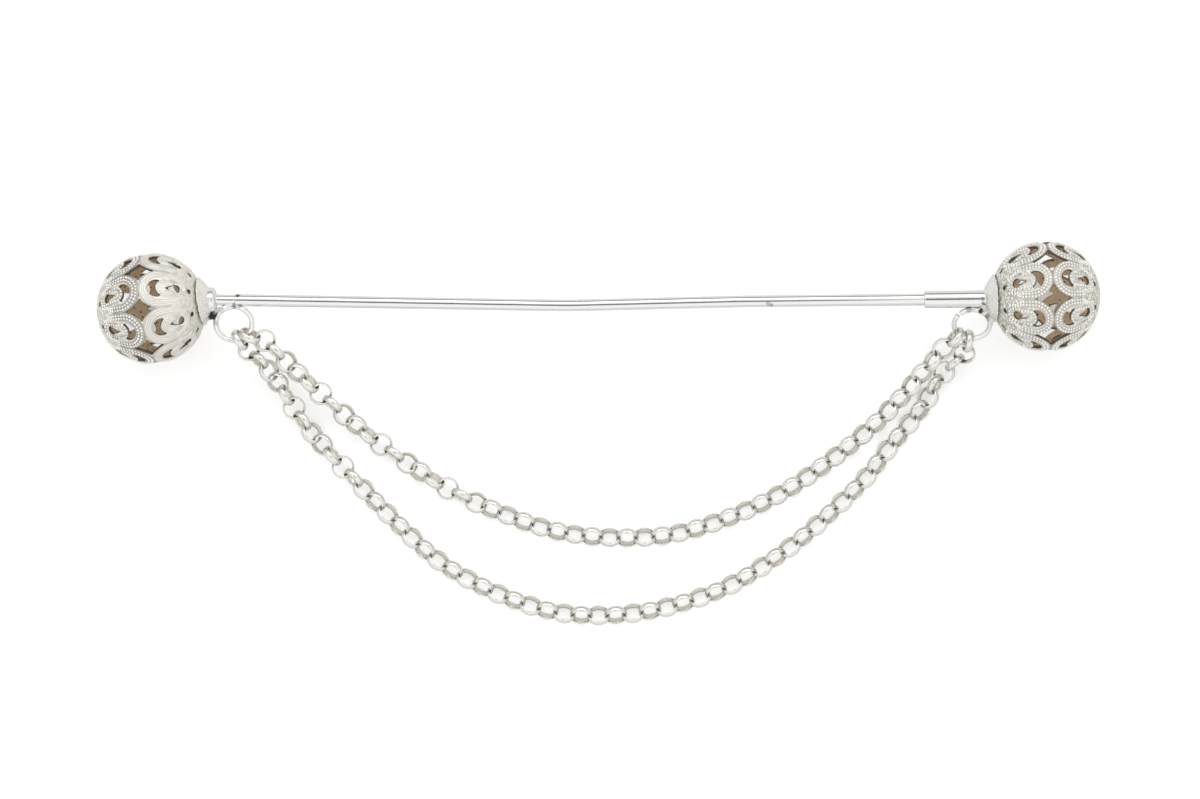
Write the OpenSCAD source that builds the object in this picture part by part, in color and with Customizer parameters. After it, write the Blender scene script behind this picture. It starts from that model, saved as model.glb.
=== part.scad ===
// Scarf pin: a straight stem between two pierced silver balls, with two loose chains.
// The pin lies on a flat surface, as it does on a table: the stem runs along X, the balls and
// the chains rest at z = 0, and both chains lie on the -Y side. All sizes are millimetres.

/* [Balls] */
// Diameter of each ball over its raised pattern
ball_d = 12; // [11.6:0.1:12.6]
// Thickness of the stamped metal of a ball
ball_wall = 0.45; // [0.35:0.05:0.6]
// Height of the raised pattern on a ball
relief = 0.12; // [0.08:0.01:0.16]

/* [Caps] */
// Diameter of the plain cap that each ball sits in
cap_d = 5.24; // [4.8:0.04:5.6]
// Depth of a cap from its rim to its narrow end
cap_depth = 1.12; // [1:0.04:1.4]
// Gap between a ball and its cap
seat_gap = 0.06; // [0.04:0.01:0.1]

/* [Stem] */
// Diameter of the round wire of the stem
stem_d = 1.3; // [1.2:0.02:1.34]
// Diameter of the thinner neck beside the collar
neck_d = 1.16; // [1.1:0.02:1.2]
// Distance from the middle of the collar to the end of the neck
neck_run = 2.4; // [1.5:0.1:3]
// Diameter of the collar between the left cap and the stem
collar_d = 2.7; // [2.4:0.1:3]
// Width of the collar
collar_w = 0.8; // [0.6:0.05:1]
// Length of the point that is hidden in the clutch
point_run = 2.4; // [1.5:0.1:3]

/* [Clutch] */
// Outer diameter of the clutch's tube
tube_d = 1.85; // [1.8:0.05:2]
// Diameter of the bore that the stem slides into
bore_d = 1.46; // [1.42:0.02:1.5]
// Length of the tube that shows
tube_run = 6.45; // [6.25:0.05:7]

/* [Jump rings] */
// Outer diameter of a jump ring
ring_d = 4.46; // [4.4:0.02:4.6]
// Diameter of its wire
ring_wire = 0.58; // [0.54:0.02:0.62]

/* [Chains] */
// Outer diameter of a link
link_d = 2.5; // [2.46:0.02:2.54]
// Thickness of a link's band
link_wall = 0.15; // [0.12:0.01:0.16]
// Width of a link's band
link_w = 0.75; // [0.6:0.01:0.76]

/* [Hidden] */
$fn = 64;

silver = [0.83, 0.82, 0.78];
bright_silver = [0.88, 0.88, 0.86];
worn_silver = [0.74, 0.72, 0.68];

// The middle of the floor rectangle that the whole pin fills
middle = [-0.21, -0.59];

// A ball's centre is this much lower than its radius, because a gap in it faces the floor
left_sink = 0.03;
right_sink = 0.03;

// How each ball's cap is turned in plan and raised, and how the pattern is turned round the cap
left_turn = 8;
left_rise = 8;
left_spin = 1.4;
right_turn = 2.5;
right_spin = -3.5;

ball_r = ball_d / 2;
sheet_r = ball_r - relief;
inner_r = sheet_r - ball_wall;

// Distances along a ball's axis from its centre, and the round of a cap
cap_lip = 0.16;
cap_step = 0.17;
cap_end_r = tube_d / 2 + 0.04;
cap_rim_at = sqrt(pow(ball_r + seat_gap, 2) - pow(cap_d / 2, 2));
cap_end_at = cap_rim_at + cap_depth;
collar_at = cap_end_at + 0.17;
dome_from = [cap_d / 2 - cap_step, cap_rim_at + cap_lip];
dome_to = [cap_end_r, cap_end_at];
dome_at = (dome_from * dome_from - dome_to * dome_to) / (2 * (dome_from[1] - dome_to[1]));
dome_r = norm(dome_to - [0, dome_at]);

// Straight runs of the stem from the collar on, each with the bend after it in degrees
stem_runs = [
    [37.2, 1.2],
    [1.6, 1.12],
    [17.2, -0.4],
    [0.8, -0.35],
    [24.9, 0]
];
joint_gap = 0.03;
stem_turn = -0.95;
stem_fall = 0.215;
tip_r = 0.15;
// How far the stem reaches into the tube, and the metal at the blind end of its bore
stem_reach = 5.5;
bore_stop = 0.5;
tube_in_cap = 0.25;

// Jump rings: centre, lean toward the chains, seam angle and seam width in degrees
left_ring = [[-39.27, 11.25, 6.25], 22, -4, 2];
right_ring = [[39.85, 11.2, 5.37], 38, 137, 9];
ring_r = (ring_d - ring_wire) / 2;
solder_r = 0.44;
left_solder = [-40.75, 12.9, 6.85];
right_solder = [40.9, 12.85, 6.5];

// Middle lines of the chains from the left ring on: x, y and z of each point
upper_route = [
    [-37.6, 9.95, 5.45],
    [-36.9, 9.7, 5.23],
    [-36.0, 9.4, 4.9],
    [-35.0, 8.4, 4.3],
    [-33.9, 7.3, 3.83],
    [-32.7, 6.1, 3.4],
    [-30.4, 4.0, 2.6],
    [-29.1, 2.8, 2.2],
    [-26.4, 0.4, 1.65],
    [-23.6, -1.8, 1.35],
    [-17.0, -6.2, 1.28],
    [-10.8, -9.1, 1.2],
    [-4.7, -11.1, 1.12],
    [1.6, -11.8, 1.12],
    [7.9, -11.4, 1.12],
    [14.2, -9.5, 1.12],
    [20.0, -6.7, 1.12],
    [25.4, -3.0, 1.12],
    [29.3, 0.2, 1.3],
    [31.9, 2.8, 1.9],
    [33.4, 4.5, 2.5],
    [34.6, 5.9, 3.0],
    [35.7, 7.3, 3.5],
    [36.8, 8.5, 3.9],
    [38.1, 9.8, 4.4]
];
lower_route = [
    [-38.7, 9.5, 5.05],
    [-37.9, 8.6, 4.25],
    [-36.8, 7.4, 3.45],
    [-35.7, 6.2, 2.85],
    [-34.8, 5.0, 2.35],
    [-33.8, 3.5, 1.95],
    [-31.7, 0.2, 1.4],
    [-27.4, -4.6, 1.3],
    [-22.8, -9.4, 1.28],
    [-18.1, -13.8, 1.2],
    [-14.1, -16.4, 1.12],
    [-9.7, -18.4, 1.12],
    [-5.0, -19.8, 1.12],
    [-0.2, -20.2, 1.12],
    [4.7, -19.8, 1.12],
    [9.4, -18.7, 1.12],
    [13.9, -17.0, 1.12],
    [18.1, -14.5, 1.12],
    [22.0, -11.6, 1.12],
    [25.6, -8.4, 1.12],
    [28.7, -5.3, 1.12],
    [31.1, -2.2, 1.12],
    [34.6, 2.1, 1.15],
    [35.9, 4.4, 1.2],
    [37.1, 6.1, 1.4],
    [38.1, 7.0, 1.9],
    [39.1, 8.0, 2.8],
    [39.5, 9.4, 3.75]
];

// Stretches of each chain: number of links, distance from link to link, and added twist
upper_stretches = [
    [19, 1.7, 18],
    [1, 1.76, 15],
    [27, 1.87, 0],
    [4, 1.78, 6.75]
];
lower_stretches = [
    [14, 1.66, 18],
    [1, 1.8, 3],
    [38, 1.86, 0],
    [6, 1.64, -9]
];
upper_first_roll = 66;
lower_first_roll = 74;
route_steps = 10;

function spline(a, b, c, d, t) =
    (2 * b + (c - a) * t + (2 * a - 5 * b + 4 * c - d) * t * t
        + (3 * b - a - 3 * c + d) * t * t * t) / 2;

function with_ends(route) =
    let (last = len(route) - 1)
    concat([2 * route[0] - route[1]], route, [2 * route[last] - route[last - 1]]);

// The raised ends of a chain follow the height of the jump rings
function follow_balls(p) = p + [0, 0, (ball_r - 6) * max(0, p[2] - 1.3) / 4];

function smooth(route) =
    let (p = with_ends([for (q = route) follow_balls(q)]))
    concat(
        [for (i = [1:len(p) - 3]) for (k = [0:route_steps - 1])
            spline(p[i - 1], p[i], p[i + 1], p[i + 2], k / route_steps)],
        [p[len(p) - 2]]
    );

// Running total that starts at a first value
function running(first, steps) =
    [for (i = 0, s = first; i <= len(steps); s = s + (i < len(steps) ? steps[i] : 0), i = i + 1) s];

function lengths(line) = running(0, [for (i = [1:len(line) - 1]) norm(line[i] - line[i - 1])]);

function table(keys, rows, k) = [for (i = [0:len(keys) - 1]) [keys[i], rows[i][k]]];

// One value of a table of stretches for each link after the first
function each_link(stretches, k) =
    let (all = [for (row = stretches) for (n = [1:row[0]]) row[k]])
    [for (i = [1:len(all) - 1]) all[i]];

function look(tables, s) = [for (t = tables) lookup(s, t)];

// Where the stem's middle line is after some of its runs, with its direction in the last column
function walk(runs, i, p, turn) =
    i == len(runs) ? [p[0], p[1], turn] :
    walk(runs, i + 1, p + runs[i][0] * [cos(turn), sin(turn)], turn + runs[i][1]);

function from_stem(x, y) = [
    x * cos(stem_fall) * cos(stem_turn) - y * sin(stem_turn),
    x * cos(stem_fall) * sin(stem_turn) + y * cos(stem_turn),
    -x * sin(stem_fall)
];

function axis(turn, rise) = [cos(rise) * cos(turn), cos(rise) * sin(turn), sin(rise)];

// The stem starts in the middle of the collar, and the left ball stands behind it
left_ball_z = ball_r - left_sink;
stem_start = [-41.5, 13.79, left_ball_z + collar_at * sin(left_rise)];
left_ball_at = stem_start - collar_at * axis(left_turn, left_rise);

// The tube covers the stem's end, and the right ball stands at the tube's other end
tip = walk(stem_runs, 0, [0, 0], 0);
tube_dir = [cos(tip[2]), sin(tip[2])];
tube_from = [tip[0], tip[1]] - stem_reach * tube_dir;
tube_to = tube_from + tube_run * tube_dir;
tube_end = stem_start + from_stem(tube_to[0], tube_to[1]);
right_ball_z = ball_r - right_sink;
right_rise = asin((tube_end[2] - right_ball_z) / cap_end_at);
right_ball_at = tube_end - cap_end_at * axis(180 + right_turn, right_rise);

// Sizes of the stamped pattern: places as latitudes from the ball's equator, radii as parts of its own
motifs = 8;
shoe_lat = 21;
shoe_r = 0.335 * ball_r;
shoe_inner_r = 0.225 * ball_r;
shoe_leg = 0.24 * ball_r;
shoe_closing = 0.88;
crescent_lat = 18.9;
crescent_r = 0.16 * ball_r;
bite_r = 0.15 * ball_r;
bite_shift = 0.135 * ball_r;
drop_lat = 33.5;
drop_r = 0.08 * ball_r;
drop_half = 0.113 * ball_r;
eye_lat = 57;
eye_r = 0.045 * ball_r;
boss_lat = 41;
boss_r = 0.074 * ball_r;
button_r = 0.18 * ball_r;
diamond_long = 0.36 * ball_r;
diamond_wide = 0.262 * ball_r;
hollow_r = 0.54 * ball_r;
// The left ball was cast with smaller gaps round its middle
left_gaps = 0.8;
right_gaps = 1;
cut_depth = 1.4;

// Holds a shape at a longitude and latitude of a ball, standing on its surface
module on_ball(lon, lat, out) {
    rotate([0, 0, lon]) rotate([0, 90 - lat, 0]) translate([0, 0, out]) children();
}

module both_halves() {
    children();
    mirror([0, 0, 1]) children();
}

module between_motifs() {
    for (k = [0:motifs - 1]) rotate([0, 0, k * 360 / motifs]) children();
}

module on_motifs() {
    rotate([0, 0, 180 / motifs]) between_motifs() children();
}

// The open end of a horseshoe points to the pole, which is the -X side of its outline
module horseshoe() {
    difference() {
        circle(r = shoe_r);
        circle(r = shoe_inner_r);
        translate([-2 * shoe_r, -shoe_r - 1]) square([2 * shoe_r, 2 * shoe_r + 2]);
    }
    for (side = [-1, 1])
        polygon([
            [0, side * shoe_r],
            [0, side * shoe_inner_r],
            [-shoe_leg, side * shoe_inner_r * shoe_closing],
            [-shoe_leg, side * shoe_r * shoe_closing]
        ]);
}

module crescent() {
    difference() {
        circle(r = crescent_r);
        translate([-bite_shift, 0]) circle(r = bite_r);
    }
}

module teardrop() {
    translate([-drop_half, 0]) circle(r = drop_r);
    polygon([
        [drop_half, 0],
        [-drop_half, 0.92 * drop_r],
        [-drop_half, -0.92 * drop_r]
    ]);
}

// Middle of the circle that hollows one side of a diamond with these half sizes
function hollow_at(long, wide) =
    let (half = norm([long, wide]) / 2)
    let (out = sqrt(pow(hollow_r, 2) - pow(half, 2)) / (2 * half))
    [long / 2 + wide * out, wide / 2 + long * out];

// The gap with four hollow sides that the ends of four neighbouring horseshoes leave free
module diamond(share) {
    long = share * diamond_long;
    wide = share * diamond_wide;
    at = hollow_at(long, wide);
    difference() {
        square([2 * long + 0.2, 2 * wide + 0.2], center = true);
        for (side = [-1, 1])
            for (up = [-1, 1]) translate([up * at[0], side * at[1]]) circle(r = hollow_r);
    }
}

module cuts_of_half() {
    on_motifs() {
        on_ball(0, crescent_lat, sheet_r - cut_depth / 2) linear_extrude(cut_depth) crescent();
        on_ball(0, drop_lat, sheet_r - cut_depth / 2) linear_extrude(cut_depth) teardrop();
        on_ball(0, eye_lat, sheet_r - cut_depth / 2) cylinder(r = eye_r, h = cut_depth);
    }
}

module relief_of_half() {
    on_motifs() on_ball(0, shoe_lat, sheet_r - 0.24) linear_extrude(0.9) horseshoe();
    between_motifs() on_ball(0, boss_lat, sheet_r - 0.24) cylinder(r = boss_r, h = 0.6);
}

// The poles of a round shell lie in two of the gaps, away from all other edges
module round_shell(out, in) {
    rotate([90, 0, 0])
        difference() {
            sphere(r = out);
            sphere(r = in);
        }
}

// A ball stands with its axis along Z and its cap's place at the top
module pierced_ball(gaps) {
    difference() {
        round_shell(sheet_r, inner_r);
        both_halves() cuts_of_half();
        between_motifs()
            on_ball(0, 0, sheet_r - cut_depth / 2) linear_extrude(cut_depth) diamond(gaps);
    }
    intersection() {
        round_shell(ball_r, sheet_r - relief);
        union() {
            both_halves() relief_of_half();
            translate([0, 0, -ball_r - 1]) cylinder(r = button_r, h = 2);
        }
    }
}

// Lays something that stands along Z so that it points along a turned and raised X
module lay(turn, rise) {
    rotate([0, 0, turn]) rotate([0, 90 - rise, 0]) children();
}

module cap() {
    rotate_extrude() difference() {
        union() {
            translate([0, cap_rim_at - 0.2]) square([cap_d / 2, cap_lip + 0.2]);
            intersection() {
                translate([0, dome_at]) circle(r = dome_r);
                translate([0, cap_rim_at]) square([cap_d / 2, cap_depth]);
            }
        }
        circle(r = ball_r + seat_gap);
    }
}

module collar() {
    rotate_extrude() {
        translate([(collar_d - collar_w) / 2, 0]) circle(r = collar_w / 2);
        translate([0, -0.45 * collar_w]) square([(collar_d - collar_w) / 2, 0.9 * collar_w]);
    }
}

module jump_ring(ring) {
    translate(ring[0] + [0, 0, ball_r - 6])
        rotate([ring[1], 0, 0])
            rotate([0, 0, ring[2] + ring[3] / 2])
                rotate_extrude(angle = 360 - ring[3])
                    translate([ring_r, 0]) circle(r = ring_wire / 2);
}

module solder(at) {
    translate(at + [0, 0, ball_r - 6]) rotate([90, 0, 0]) sphere(r = solder_r);
}

module rod(d, from, to) {
    translate([from, 0, 0]) rotate([0, 90, 0]) cylinder(d = d, h = to - from);
}

// One straight run of the stem and all that follows it, with a round joint at each slight bend
module stem_from(i) {
    run = stem_runs[i][0];
    start = i == 0 ? neck_run : joint_gap;
    if (i < len(stem_runs) - 1) {
        rod(stem_d, start, run - joint_gap);
        translate([run, 0, 0]) rotate([0, 90, 0]) sphere(d = stem_d + 0.02);
        translate([run, 0, 0]) rotate([0, 0, stem_runs[i][1]]) stem_from(i + 1);
    } else {
        rod(stem_d, start, run - point_run);
        translate([run - point_run, 0, 0])
            rotate([0, 90, 0]) cylinder(d1 = stem_d, r2 = tip_r, h = point_run);
    }
}

module on_stem() {
    translate(stem_start) rotate([0, stem_fall, stem_turn]) children();
}

module tube() {
    translate([tube_from[0], tube_from[1], 0])
        rotate([0, 0, tip[2]])
            difference() {
                rod(tube_d, 0, tube_run + tube_in_cap);
                rod(bore_d, -1, tube_run - bore_stop);
            }
}

// A link's band lies round Z and is flat inside and rounded outside
module link() {
    out = link_d / 2;
    in = out - link_wall;
    rotate_extrude()
        polygon([
            [in, -link_w / 2],
            [in + 0.3 * link_wall, -link_w / 2],
            [out, -link_w / 5],
            [out, link_w / 5],
            [in + 0.3 * link_wall, link_w / 2],
            [in, link_w / 2]
        ]);
}

module chain(route, stretches, first_roll) {
    line = smooth(route);
    along = lengths(line);
    tables = [for (k = [0:2]) table(along, line, k)];
    places = running(0, each_link(stretches, 1));
    rolls = running(first_roll, [for (twist = each_link(stretches, 2)) 90 + twist]);
    fit = along[len(along) - 1] / places[len(places) - 1];
    for (i = [0:len(places) - 1]) {
        s = places[i] * fit;
        way = look(tables, s + 0.2) - look(tables, s - 0.2);
        heading = atan2(way[1], way[0]);
        climb = atan2(way[2], norm([way[0], way[1]]));
        translate(look(tables, s))
            rotate([0, -climb, heading])
                rotate([-rolls[i], 0, 0]) link();
    }
}

module left_ball() {
    color(silver)
        translate(left_ball_at) lay(left_turn, left_rise) rotate([0, 0, left_spin]) pierced_ball(left_gaps);
}

module right_ball() {
    color(silver)
        translate(right_ball_at)
            lay(180 + right_turn, right_rise) rotate([0, 0, right_spin]) pierced_ball(right_gaps);
}

module pin_stem() {
    color(bright_silver) {
        translate(left_ball_at) lay(left_turn, left_rise) cap();
        translate(stem_start) lay(left_turn, left_rise) collar();
        on_stem() rod(neck_d, 0, neck_run + 0.1);
        on_stem() stem_from(0);
        jump_ring(left_ring);
        solder(left_solder);
    }
}

module clutch() {
    color(bright_silver) {
        translate(right_ball_at) lay(180 + right_turn, right_rise) cap();
        on_stem() tube();
        jump_ring(right_ring);
        solder(right_solder);
    }
}

module upper_chain() {
    color(worn_silver) chain(upper_route, upper_stretches, upper_first_roll);
}

module lower_chain() {
    color(worn_silver) chain(lower_route, lower_stretches, lower_first_roll);
}

translate([-middle[0], -middle[1], 0]) {
    left_ball();
    right_ball();
    pin_stem();
    clutch();
    upper_chain();
    lower_chain();
}
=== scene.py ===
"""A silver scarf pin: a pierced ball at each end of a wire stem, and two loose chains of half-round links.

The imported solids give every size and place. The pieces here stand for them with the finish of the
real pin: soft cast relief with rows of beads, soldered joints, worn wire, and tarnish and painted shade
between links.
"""

import math

import bmesh
import bpy
import numpy as np
from mathutils import Matrix, Vector


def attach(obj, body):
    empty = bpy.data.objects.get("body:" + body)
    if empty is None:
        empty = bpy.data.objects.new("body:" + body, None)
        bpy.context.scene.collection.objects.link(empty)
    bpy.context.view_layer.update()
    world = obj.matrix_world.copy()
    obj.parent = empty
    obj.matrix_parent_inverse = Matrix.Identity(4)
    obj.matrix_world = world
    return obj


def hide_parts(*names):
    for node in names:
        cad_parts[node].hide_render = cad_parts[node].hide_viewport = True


bl_info = {
    "name": "Scarf Pin",
    "version": (1, 0, 0),
    "blender": (4, 5, 0),
    "location": "View3D > Sidebar > Scarf Pin",
    "description": "Dresses the solids of a silver scarf pin and lights them",
    "category": "Add Mesh",
}

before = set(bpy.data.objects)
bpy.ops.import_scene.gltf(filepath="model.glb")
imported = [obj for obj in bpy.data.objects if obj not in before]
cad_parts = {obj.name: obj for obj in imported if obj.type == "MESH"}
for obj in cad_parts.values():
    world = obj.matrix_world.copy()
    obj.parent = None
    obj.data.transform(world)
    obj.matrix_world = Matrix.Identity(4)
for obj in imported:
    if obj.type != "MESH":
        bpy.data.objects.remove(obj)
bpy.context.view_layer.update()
MM = 0.001

# Where the two balls stand, in millimetres, and how each is turned, raised and spun, in degrees
BALLS = {
    "left_ball": {"at": (-47.914, 13.449, 5.97), "turn": 8.0, "rise": 8.0, "spin": 1.4},
    "right_ball": {"at": (47.896, 14.761, 5.97), "turn": 182.5, "rise": 5.49, "spin": -3.5},
}
# Jump rings: middle in millimetres, lean, seam angle and seam width in degrees
RINGS = {
    "left_ball": {"at": (-39.06, 11.84, 6.25), "lean": 22.0, "seam": -4.0, "gap": 2.0},
    "right_ball": {"at": (40.06, 11.79, 5.37), "lean": 38.0, "seam": 137.0, "gap": 9.0},
}
# Middle of the solder between a ring and its cap, and its radius
SOLDER = {"left_ball": (-40.54, 13.49, 6.85), "right_ball": (41.11, 13.44, 6.5)}
SOLDER_R = 0.44
# Solder that ran into the corner between the left cap, the collar and the ring: places and radii
OVERFLOW = ((-41.6, 12.5, 6.3, 0.3), (-41.25, 12.85, 6.4, 0.34), (-41.05, 12.45, 6.3, 0.22))

# Finishes: colour, roughness, dents to a millimetre, depth of pits, file marks, height of all in millimetres
FINISHES = {
    "cast_silver": ((0.92, 0.895, 0.81), 0.22, 1.6, 0.5, 0.4, 0.08),
    "drawn_silver": ((0.83, 0.83, 0.81), 0.12, 0.5, 0.06, 0.2, 0.008),
    "link_silver": ((0.81, 0.8, 0.755), 0.16, 1.3, 0.4, 0.3, 0.03),
}
# Stains and pits by material: x, y and z in millimetres, reach in millimetres and strength
STAINS = {
    "drawn_silver": (
        (-38.6, 14.8, 7.5, 0.3, 0.95),
        (-41.4, 12.65, 6.4, 0.7, 0.95),
        (-41.1, 11.9, 6.2, 0.45, 0.35),
        (-40.2, 13.75, 7.0, 0.3, 0.5),
        (-39.0, 13.72, 7.0, 0.4, 0.6),
        (-38.4, 13.7, 7.0, 0.35, 0.5),
        (18.1, 13.95, 7.3, 0.35, 0.45),
        (18.5, 13.8, 7.3, 0.3, 0.5),
        (38.4, 13.3, 6.4, 0.35, 0.5),
        (39.6, 13.3, 6.6, 0.5, 0.45),
        (40.92, 13.2, 6.8, 0.4, 0.95),
        (41.1, 14.5, 7.5, 0.35, 0.6),
        (41.2, 13.9, 7.4, 0.3, 0.7),
        (41.6, 12.6, 6.6, 0.4, 0.7),
        (41.75, 12.2, 6.4, 0.3, 0.5),
    ),
    "cast_silver": (
        (42.6, 16.85, 6.5, 0.35, 0.9),
        (42.85, 15.2, 7.6, 0.3, 0.7),
        (42.85, 14.85, 7.6, 0.25, 0.6),
        (43.05, 13.6, 7.4, 0.3, 0.7),
    ),
    "link_silver": (),
}

# Light of the soft tent by height: 0 is the horizon, 1 is straight up, where the lens looks in
SKY = ((0.0, 0.6), (0.2, 0.85), (0.45, 1.0), (0.75, 1.05), (0.965, 1.05), (0.985, 0.3), (1.0, 0.05))
# Share of that light by direction: 0 is the front of the studio, 1 is the back, where a grey wall stands
WALLS = ((0.0, 1.05), (0.5, 1.0), (0.7, 0.9), (0.85, 0.62), (1.0, 0.42))

# The stem from the collar on: its start, its turn and fall there, and straight runs with the bend after each
STEM_START = (-41.29, 14.38, 6.91)
STEM_TURN = -0.95
STEM_FALL = 0.215
STEM_RUNS = ((37.2, 1.2), (1.6, 1.12), (17.2, -0.4), (0.8, -0.35), (24.9, 0.0))
# End of the neck, length of the point, radius of its tip, and how far the point is inside the clutch
NECK_END = 2.4
POINT_RUN = 2.4
TIP_R = 0.15
STEM_REACH = 5.5
# The clutch's tube: radius of its outside and of its bore, end of the bore and of the tube
TUBE_R = 0.925
BORE_R = 0.73
BORE_END = 5.95
TUBE_END = 6.6

# A cap: radius and rim of its seat, and middle, radius, start and end of its dome along the ball's axis
SEAT_R = 6.06
CAP_RIM_R = 2.62
DOME_AT = 3.463
DOME_R = 3.267
DOME_FROM = 5.624
DOME_TO = 6.584

# The stamped pattern: motifs on a half, longitude of the first, latitudes of horseshoes and loops
MOTIFS = 8
FIRST_LON = 22.5
SHOE_LAT = 21.0
LOOP_LAT = 26.6
# As shares of the ball's radius: how far the legs of a horseshoe and the narrow end of a loop reach to the
# pole. A leg also has its share of the horseshoe's own radius
SHOE_LEGS = ((0.47, 0.484), (0.36, 0.5984), (0.24, 0.88))
LOOP_FOOT = 0.29
# Rows on the motifs: radii of horseshoes, and radii of both ends of loops, as shares of the ball's radius
BEAD_ROWS = {"shoes": (0.306, 0.25), "loops": ((0.12, 0.11),)}
WORN_RIDGES = {"shoes": (0.312, 0.278, 0.244), "loops": ((0.13, 0.12), (0.096, 0.09))}
# How far the bands are sunk below the tops of their beads, in millimetres
BAND_SINK = 0.115


# ---------------- settings


COLOUR = {"subtype": "COLOR", "min": 0, "max": 1}


class SilverSettings(bpy.types.PropertyGroup):
    polished: bpy.props.FloatVectorProperty(
        name="Polished silver",
        description="Colour of metal that wear keeps bright",
        default=(0.97, 0.965, 0.94),
        **COLOUR,
    )
    tarnish: bpy.props.FloatVectorProperty(
        name="Tarnish",
        description="Colour of the walls that no cloth reaches",
        default=(0.975, 0.85, 0.66),
        **COLOUR,
    )
    # The stain colour also paints shade: on the balls' cut walls and bead rows, and where links touch
    stain: bpy.props.FloatVectorProperty(
        name="Stain",
        description="Colour of the dark pits at solder joints and between links",
        default=(0.022, 0.014, 0.008),
        **COLOUR,
    )


class BallSettings(bpy.types.PropertyGroup):
    radius: bpy.props.FloatProperty(
        name="Radius", description="Radius over the raised bands, in millimetres", default=6.0, min=5, max=7
    )
    relief: bpy.props.FloatProperty(
        name="Relief", description="Height of the bands, in millimetres", default=0.12, min=0.05, max=0.3
    )
    bead: bpy.props.FloatProperty(
        name="Bead", description="Diameter of the beads, in millimetres", default=0.31, min=0.1, max=0.5
    )
    ridge: bpy.props.FloatProperty(
        name="Ridge", description="Thickness of worn ridges, in millimetres", default=0.208, min=0.1, max=0.4
    )
    grain: bpy.props.FloatProperty(
        name="Grain", description="Softness of the shell, in millimetres", default=0.075, min=0.05, max=0.4
    )


class FittingSettings(bpy.types.PropertyGroup):
    wire: bpy.props.FloatProperty(
        name="Stem wire", description="Diameter of the stem, in millimetres", default=1.3, min=1, max=2
    )
    neck: bpy.props.FloatProperty(
        name="Neck", description="Diameter of the filed neck, in millimetres", default=1.16, min=0.8, max=1.3
    )
    ring: bpy.props.FloatProperty(
        name="Jump ring", description="Diameter of a jump ring, in millimetres", default=4.46, min=3, max=6
    )
    ring_wire: bpy.props.FloatProperty(
        name="Ring wire", description="Thickness of a ring, in millimetres", default=0.58, min=0.4, max=0.8
    )


class LinkSettings(bpy.types.PropertyGroup):
    outer: bpy.props.FloatProperty(
        name="Link", description="Outer diameter of a link, in millimetres", default=2.5, min=2, max=3
    )
    wall: bpy.props.FloatProperty(
        name="Wall", description="Thickness of its band, in millimetres", default=0.24, min=0.1, max=0.4
    )
    width: bpy.props.FloatProperty(
        name="Band", description="Width of its band, in millimetres", default=0.75, min=0.5, max=1
    )


class StudioSettings(bpy.types.PropertyGroup):
    camera_height: bpy.props.FloatProperty(
        name="Camera height",
        description="Height of the camera over the floor",
        default=0.7,
        unit="LENGTH",
        subtype="DISTANCE",
    )
    lens: bpy.props.FloatProperty(
        name="Focal length", description="In millimetres, for a 36 mm wide sensor", default=194.25
    )
    floor: bpy.props.FloatVectorProperty(
        name="Floor", description="Colour of the pale floor", default=(0.82, 0.82, 0.82), **COLOUR
    )


# ---------------- node helpers


def add_node(tree, kind, at, values=None, **settings):
    """A node of a tree at a place on its sheet, with some of its settings and its sockets' own values."""
    made = tree.nodes.new(kind)
    made.location = at
    for name, value in settings.items():
        setattr(made, name, value)
    for name, value in (values or {}).items():
        made.inputs[name].default_value = value
    return made


def join(tree, source, target):
    tree.links.new(source, target)


def wire(tree, *rows):
    """Links by rows of (node, its output, node, its input)."""
    for source, give, target, take in rows:
        join(tree, source.outputs[give], target.inputs[take])


def math_node(tree, operation, first, second, at):
    """A Math node on two sockets or numbers."""
    made = add_node(tree, "ShaderNodeMath", at, operation=operation)
    for socket, value in zip(made.inputs, (first, second)):
        if isinstance(value, (int, float)):
            socket.default_value = value
        else:
            join(tree, value, socket)
    return made.outputs[0]


def use_group(tree, name, at, values):
    """A shader group with some of its inputs' values."""
    return add_node(tree, "ShaderNodeGroup", at, values, node_tree=bpy.data.node_groups[name])


def fade(tree, source, low, high, at, top=1.0, kind="SMOOTHSTEP"):
    """Rises from 0 to its top while a socket's value goes from low to high."""
    values = {"From Min": low, "From Max": high, "To Max": top}
    made = add_node(tree, "ShaderNodeMapRange", at, values, interpolation_type=kind)
    join(tree, source, made.inputs["Value"])
    return made.outputs["Result"]


def mixed(tree, share, first, second, at):
    """Mixes two colours by a share from 0 to 1."""
    made = add_node(tree, "ShaderNodeMix", at, data_type="RGBA")
    for socket, source in ((0, share), (6, first), (7, second)):
        join(tree, source, made.inputs[socket])
    return made.outputs[2]


def new_tree(name, kind, inputs, outputs):
    """An empty node tree with its ends. Its sockets are rows of (name, kind)."""
    tree = bpy.data.node_groups.new(name, kind)
    for way, rows in (("INPUT", inputs), ("OUTPUT", outputs)):
        for label, what in rows:
            tree.interface.new_socket(label, in_out=way, socket_type="NodeSocket" + what)
    return tree, add_node(tree, "NodeGroupInput", (-900, 0)), add_node(tree, "NodeGroupOutput", (900, 0))


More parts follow.
